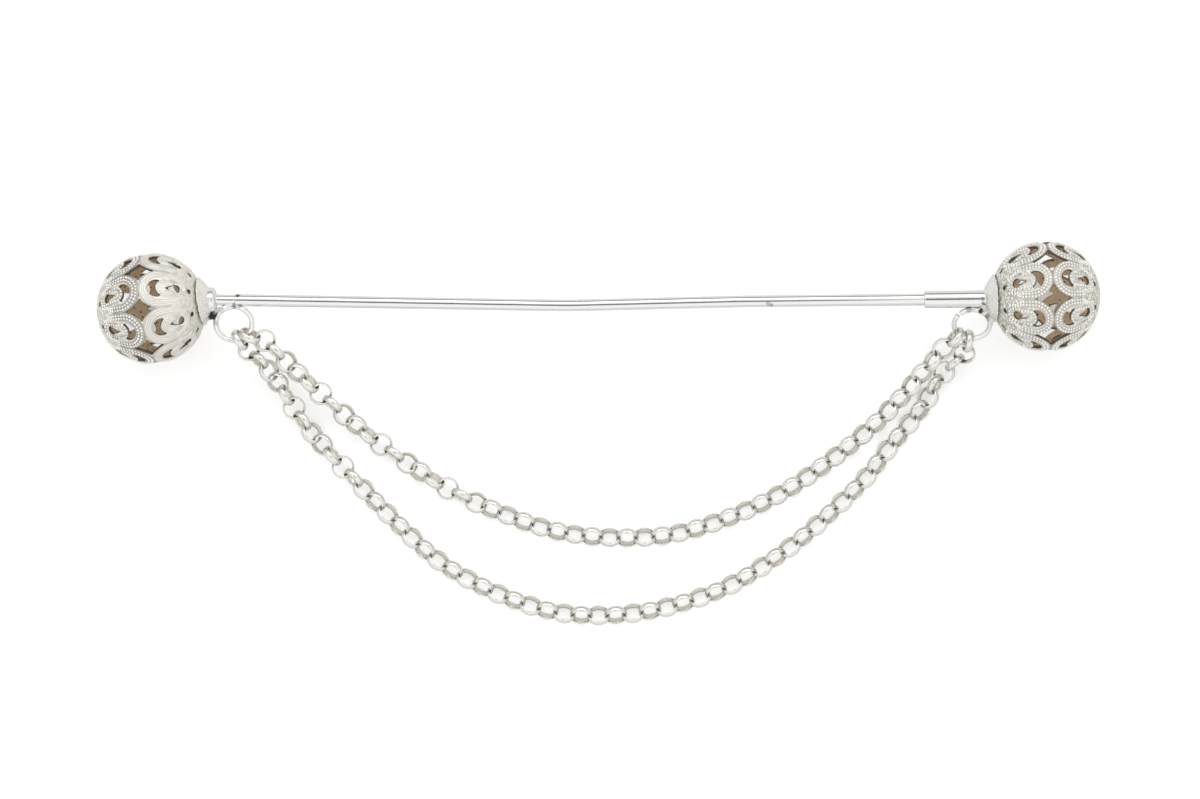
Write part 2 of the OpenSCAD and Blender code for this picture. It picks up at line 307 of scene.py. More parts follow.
def surface_group():
    """Dents, file marks, pits and specks of worn silver, as a height, two masks and a change of roughness."""
    group, given, out = new_tree(
        "worn_surface",
        "ShaderNodeTree",
        [("Place", "Vector"), ("Dent size", "Float"), ("Pits", "Float"), ("Lines", "Float")],
        [("Height", "Float"), ("Dirt", "Float"), ("Rough", "Float"), ("Specks", "Float")],
    )
    dents = add_node(group, "ShaderNodeTexNoise", (-600, 300), {"Detail": 3, "Roughness": 0.6})
    marks = add_node(group, "ShaderNodeTexNoise", (-600, 0), {"Detail": 4})
    pits = add_node(group, "ShaderNodeTexVoronoi", (-600, -300))
    spots = add_node(group, "ShaderNodeTexVoronoi", (-600, -600), {"Scale": 1.9})
    for pattern in (dents, marks, pits, spots):
        wire(group, (given, "Place", pattern, "Vector"))
    size = given.outputs["Dent size"]
    join(group, size, dents.inputs["Scale"])
    join(group, math_node(group, "MULTIPLY", size, 7.0, (-760, -60)), marks.inputs["Scale"])
    join(group, math_node(group, "MULTIPLY", size, 2.2, (-760, -300)), pits.inputs["Scale"])
    pit = fade(group, pits.outputs["Distance"], 0.10, 0.02, (-380, -300))
    depth = math_node(group, "MULTIPLY", pit, given.outputs["Pits"], (-160, -300))
    soft = math_node(group, "MULTIPLY", marks.outputs["Fac"], given.outputs["Lines"], (-160, 0))
    height = math_node(group, "ADD", dents.outputs["Fac"], soft, (60, 160))
    join(group, math_node(group, "SUBTRACT", height, depth, (260, 80)), out.inputs["Height"])
    join(group, depth, out.inputs["Dirt"])
    join(group, fade(group, marks.outputs["Fac"], 0.35, 0.7, (260, 320), kind="LINEAR"), out.inputs["Rough"])
    join(group, fade(group, spots.outputs["Distance"], 0.27, 0.15, (-380, -600)), out.inputs["Specks"])


def tarnish_group():
    """Mixes bright metal, tarnish and stain by how far a place is from wear. The stain colour also paints
    shade.
    """
    colours = ("Bright", "Polished", "Tarnish", "Stain")
    shares = ("Polish", "Dull", "Sheltered", "Dirt", "Rough", "Bright roughness")
    group, given, out = new_tree(
        "tarnish",
        "ShaderNodeTree",
        [(name, "Color") for name in colours] + [(name, "Float") for name in shares],
        [("Color", "Color"), ("Metallic", "Float"), ("Roughness", "Float")],
    )
    take = given.outputs
    clean = mixed(group, take["Polish"], take["Bright"], take["Polished"], (-550, 200))
    warm = mixed(group, take["Sheltered"], clean, take["Tarnish"], (-300, 200))
    # The stain share carries painted shade as well as real stains and pits
    join(group, mixed(group, take["Dirt"], warm, take["Stain"], (0, 200)), out.inputs["Color"])
    # Tarnish and frost scatter light as a dielectric does, and the stain share, painted shade included, keeps
    # the metal's dark gloss
    free = math_node(group, "SUBTRACT", 1.0, take["Dirt"], (-300, 0))
    oxide = math_node(group, "MULTIPLY", take["Sheltered"], free, (-160, 20))
    oxide = math_node(group, "MULTIPLY", oxide, 0.75, (-100, -60))
    metal = math_node(group, "SUBTRACT", 1.0, oxide, (60, -60))
    frost = math_node(group, "MULTIPLY", take["Dull"], free, (-60, -120))
    frost = math_node(group, "SUBTRACT", 1.0, frost, (60, -120))
    join(group, math_node(group, "MULTIPLY", metal, frost, (240, -60)), out.inputs["Metallic"])
    covered = math_node(group, "MAXIMUM", take["Sheltered"], take["Dirt"], (-300, -100))
    rough = math_node(group, "MULTIPLY", covered, 0.35, (-100, -260))
    rough = math_node(group, "ADD", rough, take["Bright roughness"], (60, -260))
    haze = math_node(group, "MULTIPLY", take["Dull"], 0.2, (-100, -360))
    rough = math_node(group, "ADD", rough, haze, (160, -320))
    grain = math_node(group, "MULTIPLY", take["Rough"], 0.06, (-300, -300))
    join(group, math_node(group, "ADD", rough, grain, (240, -260)), out.inputs["Roughness"])


def stained(tree, place, stains):
    """Value that rises at each stain of a list. A stain's edge is uneven, and its height is forgiving."""
    sway, flatter = 0.5, 0.35
    frayed = add_node(tree, "ShaderNodeTexNoise", (-1500, -900), {"Scale": 3})
    join(tree, place, frayed.inputs["Vector"])
    shift = add_node(tree, "ShaderNodeVectorMath", (-1300, -900), {"Scale": sway}, operation="SCALE")
    moved = add_node(tree, "ShaderNodeVectorMath", (-1100, -900), operation="ADD")
    join(tree, place, moved.inputs[0])
    flat = add_node(tree, "ShaderNodeVectorMath", (-900, -900), {1: (1, 1, flatter)}, operation="MULTIPLY")
    wire(tree, (frayed, "Color", shift, 0), (shift, "Vector", moved, 1), (moved, "Vector", flat, 0))
    total = None
    for k, (x, y, z, reach, strength) in enumerate(stains):
        row = -900 - 160 * k
        middle = (x + sway / 2, y + sway / 2, flatter * (z + sway / 2))
        away = add_node(tree, "ShaderNodeVectorMath", (-700, row), {1: middle}, operation="DISTANCE")
        wire(tree, (flat, "Vector", away, 0))
        spot = fade(tree, away.outputs["Value"], reach, 0.4 * reach, (-500, row), strength)
        total = math_node(tree, "MAXIMUM", total, spot, (-300, row)) if k else spot
    return total


def silver(name):
    """Worn silver that follows a piece's own "shelter", "grime", "polish", "dull" and "grains" attributes.
    The grime attribute holds painted shade as well as stains.
    """
    shade = bpy.context.scene.pin_silver
    bright, roughness, dents, pits, lines, relief = FINISHES[name]
    made = bpy.data.materials.new(name)
    made.use_nodes = True
    tree = made.node_tree
    shader = tree.nodes["Principled BSDF"]
    place = add_node(tree, "ShaderNodeTexCoord", (-1500, 0))
    scale = add_node(tree, "ShaderNodeMapping", (-1300, 0), {"Scale": (1 / MM,) * 3})
    surface = use_group(tree, "worn_surface", (-1050, 0), {"Dent size": dents, "Pits": pits, "Lines": lines})
    mix = use_group(tree, "tarnish", (-500, 200), {"Bright roughness": roughness})
    colours = {"Bright": bright, "Polished": shade.polished, "Tarnish": shade.tarnish, "Stain": shade.stain}
    for field, colour in colours.items():
        mix.inputs[field].default_value = (*colour, 1)
    shelter, grime, polish, dull, grains = (
        add_node(tree, "ShaderNodeAttribute", (-1050, row), attribute_name=label).outputs["Fac"]
        for label, row in (("shelter", 400), ("grime", 250), ("polish", 550), ("dull", 700), ("grains", -450))
    )
    dots = add_node(
        tree, "ShaderNodeTexVoronoi", (-1050, -650), {"Scale": 3.4, "Smoothness": 0.3}, feature="SMOOTH_F1"
    )
    wire(
        tree,
        (place, "Object", scale, "Vector"),
        (scale, "Vector", surface, "Place"),
        (scale, "Vector", dots, "Vector"),
        (surface, "Rough", mix, "Rough"),
        (mix, "Color", shader, "Base Color"),
        (mix, "Metallic", shader, "Metallic"),
        (mix, "Roughness", shader, "Roughness"),
    )
    for source, field in ((shelter, "Sheltered"), (polish, "Polish"), (dull, "Dull")):
        join(tree, source, mix.inputs[field])
    seams = fade(tree, dots.outputs["Distance"], 0.3, 0.62, (-850, -650))
    hollow = math_node(tree, "MULTIPLY", seams, grains, (-650, -550))
    mottle = fade(tree, surface.outputs["Height"], 0.5, 0.9, (-1000, 120), 0.22, "LINEAR")
    spots = math_node(tree, "MAXIMUM", surface.outputs["Specks"], mottle, (-850, 60))
    spots = math_node(tree, "MULTIPLY", spots, shelter, (-850, 120))
    # The grime attribute brings painted shade (cut walls, bead rows, where links touch) as well as solder
    # stains; all of it darkens here
    dirt_and_shade = math_node(tree, "MAXIMUM", surface.outputs["Dirt"], grime, (-750, 250))
    dirt_and_shade = math_node(tree, "MAXIMUM", dirt_and_shade, math_node(tree, "MULTIPLY", spots, 0.8, (-760, 60)), (-640, 250))
    dirt_and_shade = math_node(tree, "MAXIMUM", dirt_and_shade, math_node(tree, "MULTIPLY", hollow, 0.4, (-640, 60)), (-560, 250))
    if STAINS[name]:
        marks = stained(tree, scale.outputs["Vector"], STAINS[name])
        dirt_and_shade = math_node(tree, "MAXIMUM", dirt_and_shade, marks, (-520, 320))
    join(tree, dirt_and_shade, mix.inputs["Dirt"])
    bump = add_node(tree, "ShaderNodeBump", (-500, -200), {"Strength": 0.6, "Distance": relief * MM})
    height = math_node(tree, "SUBTRACT", surface.outputs["Height"], hollow, (-640, -300))
    join(tree, height, bump.inputs["Height"])
    wire(tree, (bump, "Normal", shader, "Normal"))
    return made


# ---------------- mesh helpers


def add_object(name, data):
    made = bpy.data.objects.new(name, data)
    bpy.context.scene.collection.objects.link(made)
    return made


def remove_object(made):
    mesh = made.data
    bpy.data.objects.remove(made)
    bpy.data.meshes.remove(mesh)


def baked(made, name):
    """A plain mesh of an object with its modifiers applied. The object itself is removed."""
    graph = bpy.context.evaluated_depsgraph_get()
    graph.update()
    mesh = bpy.data.meshes.new_from_object(made.evaluated_get(graph), depsgraph=graph)
    mesh.name = name
    remove_object(made)
    return mesh


def lying(turn, rise, at):
    """Turns a piece that stands along Z so that it points along a turned and raised X, at a place."""
    return (
        Matrix.Translation(at)
        @ Matrix.Rotation(math.radians(turn), 4, "Z")
        @ Matrix.Rotation(math.radians(90 - rise), 4, "Y")
    )


def ball_place(name):
    row = BALLS[name]
    return lying(row["turn"], row["rise"], row["at"]) @ Matrix.Rotation(math.radians(row["spin"]), 4, "Z")


def circle(sides):
    """Cosine and sine of equal steps round a circle."""
    return [(math.cos(2 * math.pi * k / sides), math.sin(2 * math.pi * k / sides)) for k in range(sides)]


def stitched(shape, rings):
    """Adds faces between each ring of points and the next one. A ring of one point is a tip."""
    sides = max(len(ring) for ring in rings)
    for low, high in zip(rings, rings[1:]):
        for k in range(sides):
            n = (k + 1) % sides
            corners = (low[k % len(low)], low[n % len(low)], high[n % len(high)], high[k % len(high)])
            shape.faces.new(list(dict.fromkeys(corners)))


def revolved(shape, profile, place, sides=96):
    """Adds a closed shell to a bmesh: profile rows of (radius, height) turned round Z, then placed."""
    rings = []
    for radius, height in profile:
        steps = circle(sides) if radius > 0 else [(0, 0)]
        rings.append([shape.verts.new(place @ Vector((radius * c, radius * s, height))) for c, s in steps])
    stitched(shape, rings)


def swept(shape, path, radii, sides=24):
    """Adds a round bar with closed ends to a bmesh, along points of its middle line."""
    points = [Vector(p) for p in path]
    radii = radii if isinstance(radii, list) else [radii] * len(points)
    rings = []
    up = Vector((0, 0, 1))
    for i, point in enumerate(points):
        along = (points[min(i + 1, len(points) - 1)] - points[max(i - 1, 0)]).normalized()
        across = along.cross(up).normalized()
        up = across.cross(along).normalized()
        rings.append([shape.verts.new(point + radii[i] * (c * across + s * up)) for c, s in circle(sides)])
    stitched(shape, rings)
    shape.faces.new(list(reversed(rings[0])))
    shape.faces.new(rings[-1])


def shape_to_mesh(shape, name):
    bmesh.ops.recalc_face_normals(shape, faces=shape.faces)
    mesh = bpy.data.meshes.new(name)
    shape.to_mesh(mesh)
    shape.free()
    return mesh


def melted(mesh, name, cell, keep=1.0):
    """Fuses overlapping shells, in millimetres, into one soft cast body. It may keep a share of the faces."""
    made = add_object(name, mesh)
    fuse = made.modifiers.new("fuse", "REMESH")
    fuse.mode = "VOXEL"
    fuse.voxel_size = cell
    fuse.use_smooth_shade = True
    soft = made.modifiers.new("soft", "SMOOTH")
    soft.factor = 0.5
    soft.iterations = 2
    if keep < 1:
        thin = made.modifiers.new("thin", "DECIMATE")
        thin.ratio = keep
    return baked(made, name)


def mark(mesh, **values):
    """Writes named numbers for the points of a mesh, for its material to read."""
    for name, value in values.items():
        kept = mesh.attributes.new(name, "FLOAT", "POINT")
        level = np.broadcast_to(np.clip(value, 0, 1), len(mesh.vertices))
        kept.data.foreach_set("value", level.astype(np.float32))


def points_of(mesh):
    flat = np.empty(len(mesh.vertices) * 3)
    mesh.vertices.foreach_get("co", flat)
    return flat.reshape(-1, 3)


def smoothstep(low, high, values):
    t = np.clip((values - low) / (high - low), 0, 1)
    return t * t * (3 - 2 * t)


def between(values, low, high, soft):
    """1 between two values and 0 outside, with soft ends."""
    return smoothstep(low - soft, low + soft, values) * (1 - smoothstep(high - soft, high + soft, values))


def distance_to(mesh, at):
    """Distance of each point of a mesh from a place."""
    return np.linalg.norm(points_of(mesh) - np.array(at), axis=1)


def finish_piece(name, meshes, material, node):
    """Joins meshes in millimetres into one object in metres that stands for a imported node."""
    parts = [add_object(name + "_part", mesh) for mesh in meshes]
    made = parts[0]
    if len(parts) > 1:
        with bpy.context.temp_override(
            active_object=made, selected_editable_objects=parts, selected_objects=parts
        ):
            bpy.ops.object.join()
    made.name = name
    made.data.name = name
    made.data.transform(Matrix.Scale(MM, 4))
    made.data.materials.clear()
    made.data.materials.append(material)
    made.data.polygons.foreach_set("material_index", np.zeros(len(made.data.polygons), np.int32))
    made.data.shade_smooth()
    made.data.update()
    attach(made, "root")
    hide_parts(node)
    return made


# ---------------- balls


def on_ball(x, y, radius, lon, lat, half):
    """A point of a motif's flat outline, lifted onto the ball. x runs from the pole to the equator."""
    z = math.sqrt(max(radius * radius - x * x - y * y, 0))
    a = math.radians(90 - lat)
    b = math.radians(lon)
    px = x * math.cos(a) + z * math.sin(a)
    pz = -x * math.sin(a) + z * math.cos(a)
    return (px * math.cos(b) - y * math.sin(b), px * math.sin(b) + y * math.cos(b), half * pz)


def arc(middle, radius, start, end, step=6.0):
    count = max(2, int(abs(end - start) / step))
    turns = [math.radians(start + (end - start) * k / count) for k in range(count + 1)]
    return [(middle + radius * math.cos(a), radius * math.sin(a)) for a in turns]


def horseshoe_line(radius, ball):
    """Middle line of one row of a horseshoe band: its legs run to the pole."""
    legs = [(-x * ball, -radius * y) for x, y in SHOE_LEGS]
    return legs + arc(0, radius, -90, 90) + [(x, -y) for x, y in reversed(legs)]


def loop_line(radius, foot, ball):
    """Middle line of the closed loop round a teardrop gap."""
    head = arc(0, radius, -100, 100)
    return head + arc(-LOOP_FOOT * ball, foot, 110, 250) + head[:1]


def line_mesh(name, rows, top, half):
    """Edges along all rows of every motif, over one half of a ball."""
    ball = bpy.context.scene.pin_ball.radius
    outlines = [(SHOE_LAT, horseshoe_line(shoe * ball, ball)) for shoe in rows["shoes"]]
    outlines += [(LOOP_LAT, loop_line(head * ball, foot * ball, ball)) for head, foot in rows["loops"]]
    verts, edges = [], []
    for k in range(MOTIFS):
        for lat, outline in outlines:
            first = len(verts)
            verts += [on_ball(x, y, top, FIRST_LON + 360 / MOTIFS * k, lat, half) for x, y in outline]
            edges += [(first + i, first + i + 1) for i in range(len(outline) - 1)]
    mesh = bpy.data.meshes.new(name)
    mesh.from_pydata(verts, edges, [])
    return mesh


def path_tree(name, size, result):
    """A Geometry Nodes tree on edge paths, with its size halved and the paths cut into equal steps."""
    inputs = [("Paths", "Geometry"), (size, "Float"), ("Step", "Float"), ("Material", "Material")]
    tree, given, out = new_tree(name, "GeometryNodeTree", inputs, [(result, "Geometry")])
    curve = add_node(tree, "GeometryNodeMeshToCurve", (-650, 200))
    spread = add_node(tree, "GeometryNodeResampleCurve", (-450, 200), mode="LENGTH")
    wire(tree, (given, "Paths", curve, "Mesh"), (curve, "Curve", spread, "Curve"))
    wire(tree, (given, "Step", spread, "Length"))
    return tree, given, out, spread, math_node(tree, "MULTIPLY", given.outputs[size], 0.5, (-650, -100))


def made_real(tree, given, grower, field, out):
    """Ends a tree: what it grew becomes plain geometry of one material."""
    real = add_node(tree, "GeometryNodeRealizeInstances", (150, 100))
    finish = add_node(tree, "GeometryNodeSetMaterial", (400, 100))
    wire(
        tree,
        (grower, field, real, "Geometry"),
        (real, "Geometry", finish, "Geometry"),
        (given, "Material", finish, "Material"),
        (finish, "Geometry", out, 0),
    )
    return tree


def bead_tree():
    """Geometry Nodes: flattened beads of slightly uneven size, at equal steps along every edge path."""
    tree, given, out, spread, half = path_tree("bead_rows", "Bead", "Beads")
    tree.interface.new_socket("Flatness", in_out="INPUT", socket_type="NodeSocketFloat")
    ball = add_node(tree, "GeometryNodeMeshUVSphere", (-450, -100), {"Segments": 7, "Rings": 4})
    place = add_node(tree, "GeometryNodeInstanceOnPoints", (-150, 100))
    turn = add_node(tree, "FunctionNodeAlignRotationToVector", (-400, -350), axis="Z")
    where = add_node(tree, "GeometryNodeInputPosition", (-650, -350))
    flat = add_node(tree, "ShaderNodeCombineXYZ", (-400, -550), {"X": 1, "Y": 1})
    spare = {"Min": 0.74, "Max": 1.06, "Seed": 5}
    vary = add_node(tree, "FunctionNodeRandomValue", (-650, -700), spare, data_type="FLOAT")
    sized = add_node(tree, "ShaderNodeVectorMath", (-200, -600), operation="SCALE")
    join(tree, half, ball.inputs["Radius"])
    wire(
        tree,
        (spread, "Curve", place, "Points"),
        (ball, "Mesh", place, "Instance"),
        (where, "Position", turn, "Vector"),
        (turn, "Rotation", place, "Rotation"),
        (given, "Flatness", flat, "Z"),
        (flat, "Vector", sized, 0),
        (vary, "Value", sized, "Scale"),
        (sized, "Vector", place, "Scale"),
    )
    return made_real(tree, given, place, "Instances", out)


def ridge_tree():
    """Geometry Nodes: a fine round wire along every edge path."""
    tree, given, out, spread, half = path_tree("worn_ridges", "Thickness", "Wires")
    bore = add_node(tree, "GeometryNodeCurvePrimitiveCircle", (-450, -100), {"Resolution": 6})
    skin = add_node(tree, "GeometryNodeCurveToMesh", (-150, 100), {"Fill Caps": True})
    join(tree, half, bore.inputs["Radius"])
    wire(tree, (spread, "Curve", skin, "Curve"), (bore, "Curve", skin, "Profile Curve"))
    return made_real(tree, given, skin, "Mesh", out)


def grown(name, mesh, tree, values):
    """A plain mesh that a Geometry Nodes tree grows from a mesh, with named values for its inputs."""
    made = add_object(name, mesh)
    grow = made.modifiers.new("grow", "NODES")
    grow.node_group = tree
    for item in tree.interface.items_tree:
        if item.item_type == "SOCKET" and item.in_out == "INPUT" and item.name in values:
            grow[item.identifier] = values[item.name]
    return baked(made, name)


def shell_of(node):
    """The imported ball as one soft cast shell, in millimetres about its own middle."""
    shape = bmesh.new()
    shape.from_mesh(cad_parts[node].data)
    bmesh.ops.scale(shape, vec=(1 / MM,) * 3, verts=shape.verts)
    bmesh.ops.remove_doubles(shape, verts=shape.verts, dist=0.0005)
    bmesh.ops.transform(shape, matrix=ball_place(node).inverted(), verts=shape.verts)
    mesh = bpy.data.meshes.new(node + "_shell")
    shape.to_mesh(mesh)
    shape.free()
    return melted(mesh, node + "_shell", bpy.context.scene.pin_ball.grain, keep=0.23)


def motif_place(points, lat):
    """Flat coordinates of points in the nearest motif at a latitude. x runs from the pole to the equator."""
    step = 360 / MOTIFS
    lon = np.degrees(np.arctan2(points[:, 1], points[:, 0])) - FIRST_LON
    lon = np.radians((lon + step / 2) % step - step / 2)
    flat = np.hypot(points[:, 0], points[:, 1])
    px, py, pz = flat * np.cos(lon), flat * np.sin(lon), np.abs(points[:, 2])
    a = math.radians(90 - lat)
    return px * math.cos(a) - pz * math.sin(a), py


def shell_wear(mesh, half_worn):
    """Sinks the bands below their beads, and marks tarnish inside, painted shade on the cut walls and in the
    bead rows, a darker line in the grooves and faint soiling on the worn half.
    """
    size = bpy.context.scene.pin_ball
    points = points_of(mesh)
    depth = np.linalg.norm(points, axis=1)
    sheet = size.radius - size.relief
    keep = np.minimum(depth, size.radius - BAND_SINK) / depth
    mesh.vertices.foreach_set("co", (points * keep[:, None]).ravel())
    mesh.update()
    facing = np.empty(len(points) * 3)
    mesh.vertices.foreach_get("normal", facing)
    out = np.abs((facing.reshape(-1, 3) * points).sum(axis=1)) / depth
    inside = 1 - smoothstep(sheet - 0.16, sheet - 0.03, depth)
    # Painted shade: the cut walls of the openings are darkened with the stain colour
    walls = (1 - smoothstep(0.35, 0.8, out)) * (1 - smoothstep(sheet - 0.03, sheet + 0.05, depth))
    x, y = motif_place(points, SHOE_LAT)
    shoe = np.hypot(np.maximum(x, 0), np.abs(y)) / size.radius
    near_head = smoothstep(-0.3, -0.2, x / size.radius)
    beaded = between(shoe, 0.2, 0.345, 0.02) * near_head
    groove = between(shoe, 0.34, 0.368, 0.012) * near_head
    x, y = motif_place(points, LOOP_LAT)
    loop = np.hypot(x - np.clip(x, -LOOP_FOOT * size.radius, 0), y) / size.radius
    beaded = np.maximum(beaded, between(loop, 0.075, 0.14, 0.012))
    groove = np.maximum(groove, between(loop, 0.145, 0.17, 0.012) * (x < 0))
    outside = (depth > sheet - 0.05).astype(float)
    worn = half_worn & (points[:, 2] > 0)
    kept = np.where(worn, 0.6, 1.0)
    # Painted shade in the bead rows, a darker line along the grooves, and faint soiling on the worn half
    dirt_and_shade = np.maximum((0.55 if half_worn else 0.42) * beaded, 0.7 * groove) * outside * kept
    dirt_and_shade = np.maximum(dirt_and_shade, 0.1 * outside * worn)
    grains = outside * np.sqrt(kept) * (1 - beaded) * (0.8 if half_worn else 1.0)
    mark(mesh, shelter=inside, grime=np.maximum(0.78 * walls, dirt_and_shade), dull=0.5, grains=grains)


class PIN_OT_balls(bpy.types.Operator):
    """Build both pierced balls with their beads and worn ridges"""

    bl_idname = "pin.balls"
    bl_label = "Pierced balls"

    def execute(self, context):
        size = context.scene.pin_ball
        material = silver("cast_silver")
        ridge_values = {"Thickness": size.ridge, "Step": 0.2, "Material": material}
        bead_values = {"Bead": size.bead, "Step": 1.12 * size.bead, "Flatness": 0.8, "Material": material}
        beads, ridges = bead_tree(), ridge_tree()
        for node in BALLS:
            shell = shell_of(node)
            shell_wear(shell, node == "left_ball")
            parts = [shell]
            for half in (-1, 1):
                if node == "left_ball" and half == 1:
                    lines = line_mesh(node + "_lines", WORN_RIDGES, size.radius - 0.15, half)
                    raised = grown(node + "_ridges", lines, ridges, ridge_values)
                    mark(raised, grime=0.1, polish=0.2, dull=0.35)
                else:
                    lines = line_mesh(node + "_lines", BEAD_ROWS, size.radius - 0.12, half)
                    raised = grown(node + "_beads", lines, beads, bead_values)
                    mark(raised, polish=0.8, dull=0.35)
                parts.append(raised)
            for mesh in parts:
                mesh.transform(ball_place(node))
            finish_piece(node + "_cast", parts, material, node)
        return {"FINISHED"}


# ---------------- stem and clutch


def cap_profile():
    """The dished cap that seats a ball, as (radius, distance from the ball's middle)."""
    rim = math.asin(CAP_RIM_R / SEAT_R)
    start, end = (math.acos((at - DOME_AT) / DOME_R) for at in (DOME_FROM, DOME_TO))
    seat = [(SEAT_R * math.sin(a), SEAT_R * math.cos(a)) for a in np.linspace(0, rim, 10)]
    dome = [(DOME_R * math.sin(a), DOME_AT + DOME_R * math.cos(a)) for a in np.linspace(start, end, 12)]
    return seat + [(CAP_RIM_R, 5.6), (CAP_RIM_R - 0.04, DOME_FROM)] + dome + [(0, DOME_TO)]


def collar_profile():
    """The round collar between the cap and the neck, as (radius, distance from its middle)."""
    edge = [(0.95 + 0.4 * math.cos(a), 0.4 * math.sin(a)) for a in np.radians(np.linspace(-64, 64, 12))]
    return [(0, -0.36), (0.95, -0.36)] + edge + [(0.95, 0.36), (0, 0.36)]


def ring_path(node):
    """Middle line of an open jump ring, from one side of its gap to the other."""
    row = RINGS[node]
    size = bpy.context.scene.pin_fittings
    radius = (size.ring - size.ring_wire) / 2
    place = Matrix.Translation(row["at"]) @ Matrix.Rotation(math.radians(row["lean"]), 4, "X")
    start = row["seam"] + row["gap"] / 2
    angles = np.radians(np.linspace(start, start + 360 - row["gap"], 97))
    return [place @ Vector((radius * math.cos(a), radius * math.sin(a), 0)) for a in angles]


def stem_points():
    """Middle line of the stem from the collar to the tip, and its direction at the tip."""
    points, turn, fall = [Vector(STEM_START)], STEM_TURN, math.radians(STEM_FALL)
    for run, bend in STEM_RUNS:
        a = math.radians(turn)
        way = Vector((math.cos(a) * math.cos(fall), math.sin(a) * math.cos(fall), -math.sin(fall)))
        points.append(points[-1] + run * way)
        turn += bend
    return points, way


def rounded(points, reach=2.2, steps=8):
    """A polyline whose corners are short soft bends, as in a wire bent by hand."""
    path = [points[0]]
    for before, corner, after in zip(points, points[1:], points[2:]):
        into = min(reach, (corner - before).length * 0.45)
        away = min(reach, (after - corner).length * 0.45)
        start = corner + into * (before - corner).normalized()
        end = corner + away * (after - corner).normalized()
        for k in range(steps + 1):
            t = k / steps
            path.append((1 - t) * (1 - t) * start + 2 * t * (1 - t) * corner + t * t * end)
    return path + [points[-1]]


def solder_blob(shape, at, radius):
    bmesh.ops.create_icosphere(shape, subdivisions=3, radius=radius, matrix=Matrix.Translation(at))


def start_fitting(node):
    """The shells that both fittings have: the cap, the jump ring and its solder."""
    row = BALLS[node]
    fitting = bmesh.new()
    revolved(fitting, cap_profile(), lying(row["turn"], row["rise"], row["at"]))
    swept(fitting, ring_path(node), bpy.context.scene.pin_fittings.ring_wire / 2, 20)
    solder_blob(fitting, SOLDER[node], SOLDER_R)
    return fitting


def finish_fitting(name, node, part, fitting, bar):
    """Melts a fitting together, adds its turned or drawn bar, and makes one piece of them."""
    joint = melted(shape_to_mesh(fitting, name + "_joint"), name + "_joint", 0.1)
    parts = [shape_to_mesh(bar, name + "_bar"), joint]
    for mesh in parts:
        # The cast caps are duller than the drawn wire, and the solder is stained
        cap = 1 - smoothstep(6.5, 6.75, distance_to(mesh, BALLS[node]["at"]))
        stain = 0.9 * (1 - smoothstep(0, 0.7, distance_to(mesh, SOLDER[node])))
        mark(mesh, shelter=0.15 * cap, dull=0.35 * cap, grime=np.maximum(stain, 0.04 * cap))
    material = bpy.data.materials.get("drawn_silver") or silver("drawn_silver")
    finish_piece(name, parts, material, part)


class PIN_OT_stem(bpy.types.Operator):
    """Build the stem with its cap, collar, neck and left jump ring"""

    bl_idname = "pin.stem"
    bl_label = "Stem"

    def execute(self, context):
        size = context.scene.pin_fittings
        row = BALLS["left_ball"]
        points, tail = stem_points()
        way = (points[1] - points[0]).normalized()
        fitting = start_fitting("left_ball")
        revolved(fitting, collar_profile(), lying(row["turn"], row["rise"], STEM_START))
        swept(fitting, [points[0] - 0.3 * way, points[0] + (NECK_END + 0.05) * way], size.neck / 2, 32)
        for x, y, z, radius in OVERFLOW:
            solder_blob(fitting, (x, y, z), radius)
        path = rounded([points[0] + NECK_END * way] + points[1:])
        path = [path[0], path[0] + 0.05 * way] + path[1:-1] + [points[-1] - POINT_RUN * tail, points[-1]]
        bar = bmesh.new()
        swept(bar, path, [size.wire / 2] * (len(path) - 1) + [TIP_R], 40)
        finish_fitting("stem_wire", "left_ball", "pin_stem", fitting, bar)
        return {"FINISHED"}


class PIN_OT_clutch(bpy.types.Operator):
    """Build the clutch: its cap, tube and right jump ring"""

    bl_idname = "pin.clutch"
    bl_label = "Clutch"

    def execute(self, context):
        points, way = stem_points()
        mouth = points[-1] - STEM_REACH * way
        fitting = start_fitting("right_ball")
        swept(fitting, [mouth + (TUBE_END - 0.6) * way, mouth + (TUBE_END + 0.1) * way], TUBE_R, 48)
        profile = [
            (0, BORE_END),
            (BORE_R, BORE_END),
            (BORE_R, 0.06),
            (BORE_R + 0.03, 0),
            (TUBE_R - 0.055, 0),
            (TUBE_R - 0.01, 0.03),
            (TUBE_R, 0.08),
            (TUBE_R, 0.14),
            (TUBE_R, TUBE_END - 0.2),
            (TUBE_R, TUBE_END - 0.15),
            (TUBE_R - 0.025, TUBE_END),
            (0, TUBE_END),
        ]
        tube = bmesh.new()
        lay = Matrix.Translation(mouth) @ way.to_track_quat("Z", "Y").to_matrix().to_4x4()
        revolved(tube, profile, lay)
        finish_fitting("clutch_body", "right_ball", "clutch", fitting, tube)
        return {"FINISHED"}


# ---------------- chains


def link_places(node):
    """Middle and axis of each link of a packed chain, in millimetres, in order along the chain."""
    shape = bmesh.new()
    shape.from_mesh(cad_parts[node].data)
    bmesh.ops.remove_doubles(shape, verts=shape.verts, dist=1e-7)
    seen, places = set(), []
    for vert in shape.verts:
        if vert in seen:
            continue
        island, heap = [], [vert]
        seen.add(vert)
        while heap:
            one = heap.pop()
            island.append(one.co.copy())
            for edge in one.link_edges:
                other = edge.other_vert(one)
                if other not in seen:
                    seen.add(other)
                    heap.append(other)
        points = np.array(island) / MM
        middle = (points.max(0) + points.min(0)) / 2
        _, _, ways = np.linalg.svd(points - points.mean(0), full_matrices=False)
        places.append((middle, ways[2]))
    shape.free()
    return in_order(places)


def in_order(places):
    """Sorts links by stepping from the leftmost to the nearest one left."""
    left = list(places)
    line = [left.pop(min(range(len(left)), key=lambda i: left[i][0][0]))]
    while left:
        here = line[-1][0]
        line.append(left.pop(min(range(len(left)), key=lambda i: np.linalg.norm(left[i][0] - here))))
    return line


